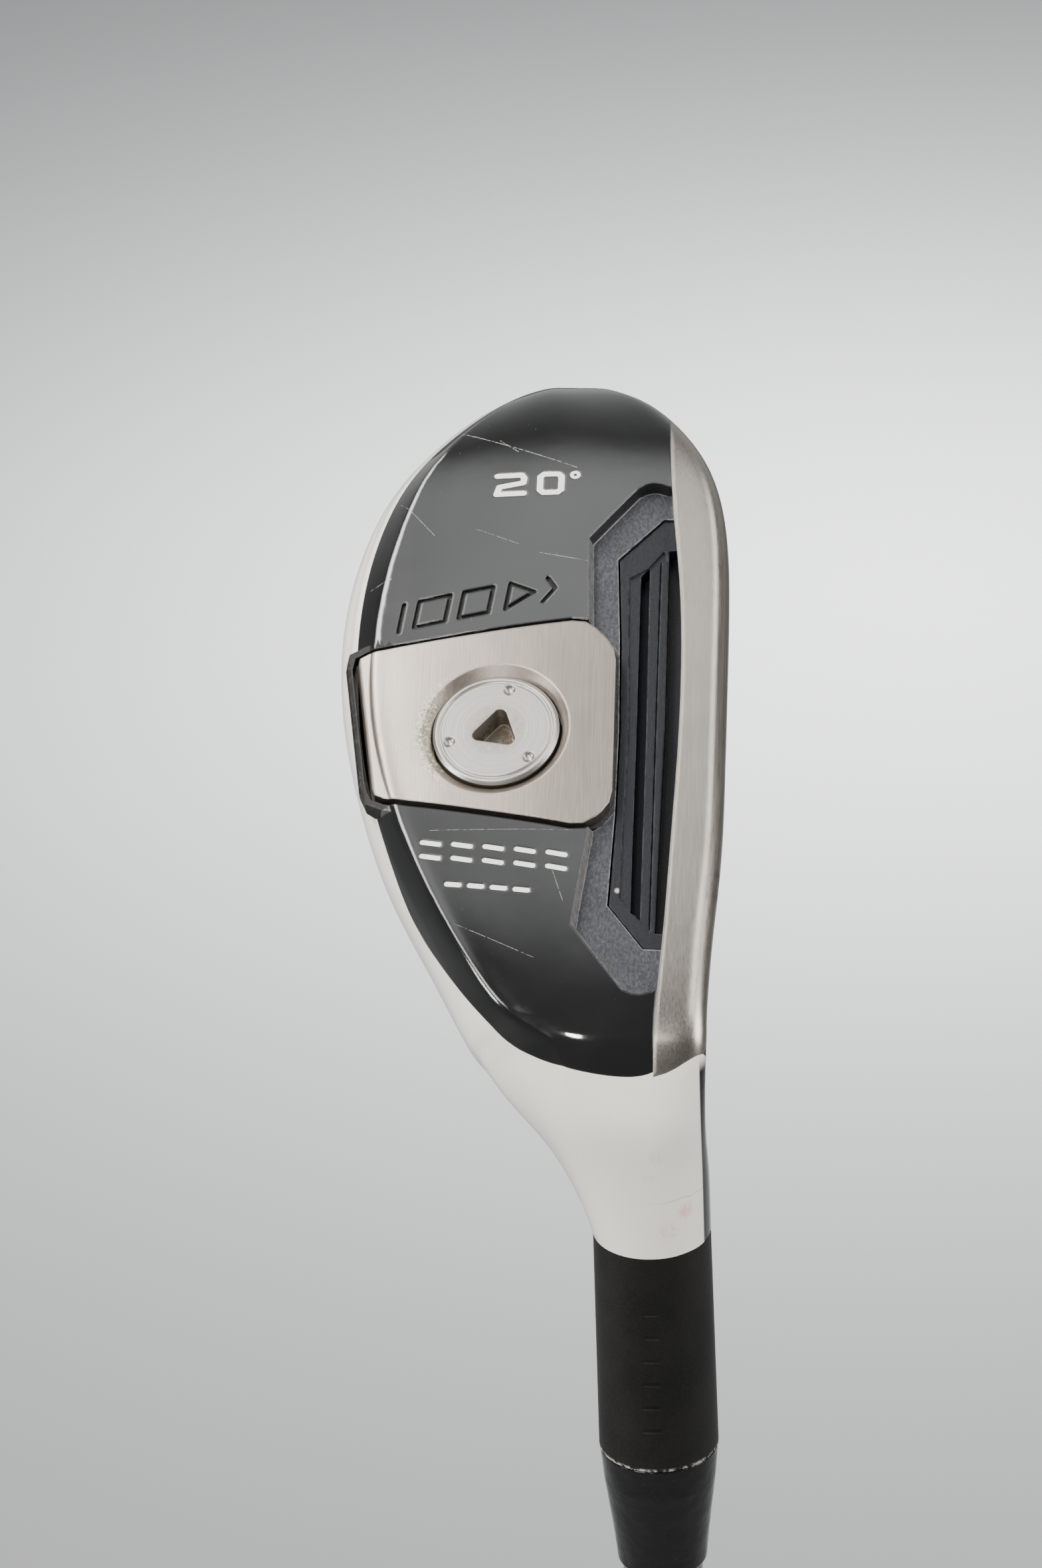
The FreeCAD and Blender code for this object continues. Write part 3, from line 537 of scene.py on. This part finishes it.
# ---- the sole plate: its channel, the row engraved in it and the pad's lip, face by face ----
# outlines as (A, F)
CHANNEL = [(69.0, 8.0), (69.2, 1.4), (69.6, 0.3), (69.6, -0.7), (69.2, -1.8), (68.4, -2.8), (60.8, -8.1),
           (48.7, -7.5), (20.2, -6.9), (14.3, -7.8), (8.0, -8.7), (-0.3, -2.9), (-0.9, -1.6), (-1.0, -0.4),
           (-0.6, 0.9), (0.2, 2.0), (0.6, 8.0)]
LIP = [(47.1, -36.6), (46.6, -29.0), (26.5, -26.0), (22.8, -33.5)]
ENGRAVED = [(58.0, -30.5), (58.0, -10.5), (46.0, -10.5), (46.0, -30.5)]
# U of the sole by A along its middle, from which it curves up on both sides
SOLE_RISE = [(-6, 3.0), (-2, 1.85), (0, 1.55), (8, 0.85), (18, 0.4), (29, 0.1), (41, 0.0), (53, 0.4),
             (64, 1.2), (74, 2.3)]
SOLE_MIDDLE_F, SOLE_RADIUS = -8.0, 150.0
GLOSS, BLASTED, WORN_AND_LIT, MATT = range(4)


def inside(a, f, outline):
    """Whether a point is inside an outline, by the edges that a ray from it crosses."""
    hit = False
    for (a0, f0), (a1, f1) in zip(outline[-1:] + outline, outline):
        if (f1 > f) != (f0 > f) and a < (a0 - a1) * (f - f1) / (f0 - f1) + a1:
            hit = not hit
    return hit


def sole_finish(a, f, u, normal):
    """Which of the sole plate's finishes a face takes."""
    depth = u - between(SOLE_RISE, a) - (f - SOLE_MIDDLE_F) ** 2 / (2 * SOLE_RADIUS)
    facing = -normal.dot(AXIS_U)
    if inside(a, f, CHANNEL):
        sloping = 0.1 <= facing <= 0.9 and depth <= 1.5
        if not sloping:
            return BLASTED if depth > 0.7 else GLOSS
        # Sloping walls that face the heel keep the gloss black as painted shade. The others take the worn
        # grey finish, which is worn metal and also a painted lit side.
        return GLOSS if normal.dot(AXIS_A) < -0.25 else WORN_AND_LIT
    on_lip = inside(a, f, LIP) and facing > -0.2
    cut = inside(a, f, ENGRAVED) and depth > 0.12
    return MATT if on_lip or cut else GLOSS


def finish_sole():
    plate = NODES["sole_plate"]
    for extra in (blasted(), worn_and_lit_wall(), matt_black()):
        plate.data.materials.append(extra)
    to_row = plate.matrix_world.to_3x3()
    for polygon in plate.data.polygons:
        a, f, u = to_head(plate.matrix_world @ polygon.center)
        polygon.material_index = sole_finish(a, f, u, to_row @ polygon.normal)


# ---- the grip, with its moulded grooves, in millimetres from the butt ----
GRIP_PROFILE = [(9.0, 13.1), (30, 12.9), (90, 12.2), (190, 10.6), (264.8, 9.3), (266.6, 8.9)]
GRIP_TOP, TOP_RADIUS, BUTT_RADIUS = 267.0, 7.1, 8.0
GRIP_AROUND, GRIP_ALONG = 216, 516
CROSSED_ZONES = ((16, 92), (100, 176), (184, 250))
CROSSED_STARTS, CROSSED_PITCH = 9, 9.0
RINGS = (12.0, 94.5, 97.5, 178.5, 181.5, 253.0, 256.0, 259.0)
SKIN = 0.02  # how far the texture's surface lies inside the sleeve's


def groove(phase, width):
    """1 in the middle of a groove that comes once a turn of the phase, 0 outside it."""
    return max(0.0, 1.0 - abs(phase - round(phase)) / width)


def groove_depth(turn, z):
    """Depth of the moulded pattern: crossed grooves in three zones, rings between them."""
    depth = 0.0
    lead, slope = turn * CROSSED_STARTS, z / CROSSED_PITCH
    crossed = max(groove(lead + slope, 0.11), groove(lead - slope, 0.11))
    pit = groove(lead + slope + 0.5, 0.20) * groove(lead - slope + 0.5, 0.20)
    for low, high in CROSSED_ZONES:
        fade = min(1.0, max(0.0, (z - low) / 1.5), max(0.0, (high - z) / 1.5))
        depth = max(depth, fade * max(0.55 * crossed, 0.7 * pit))
    for ring in RINGS:
        depth = max(depth, 0.5 * max(0.0, 1.0 - abs(z - ring) / 0.7))
    return depth


def grip_loop(build, z, radius):
    """One ring of points; the radius is worked out for each part of a turn."""
    loop = []
    for i in range(GRIP_AROUND):
        turn = i / GRIP_AROUND
        angle = 2 * math.pi * turn
        r = radius(turn) * MM
        loop.append(build.verts.new((r * math.cos(angle), r * math.sin(angle), z * MM)))
    return loop


def add_grip(rubber_look):
    build = bmesh.new()
    low, high = GRIP_PROFILE[0][0], GRIP_PROFILE[-1][0]
    loops = [grip_loop(build, low, lambda turn: BUTT_RADIUS)]
    for step in range(GRIP_ALONG + 1):
        z = low + (high - low) * step / GRIP_ALONG
        outside = between(GRIP_PROFILE, z) - SKIN
        loops.append(grip_loop(build, z, lambda turn: outside - groove_depth(turn, z)))
    loops.append(grip_loop(build, GRIP_TOP, lambda turn: TOP_RADIUS))
    for near, far in zip(loops, loops[1:]):
        for i in range(GRIP_AROUND):
            j = (i + 1) % GRIP_AROUND
            build.faces.new((near[i], near[j], far[j], far[i]))
    bmesh.ops.recalc_face_normals(build, faces=build.faces)
    for face in build.faces:
        face.smooth = True
    mesh = bpy.data.meshes.new("grip_texture")
    build.to_mesh(mesh)
    build.free()
    mesh.materials.append(rubber_look)
    grip = bpy.data.objects.new("grip_texture", mesh)
    bpy.context.scene.collection.objects.link(grip)
    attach(grip, "club")
    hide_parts("grip_sleeve")


def add_floor():
    bpy.ops.mesh.primitive_plane_add(size=40, location=(0, 0, -0.0005))
    floor = bpy.context.object
    floor.name = "floor"
    floor.data.materials.append(paper())


add_camera()
add_lights()
add_world()
dress()
finish_sole()
add_grip(NODES["grip_sleeve"].data.materials[0])
add_floor()
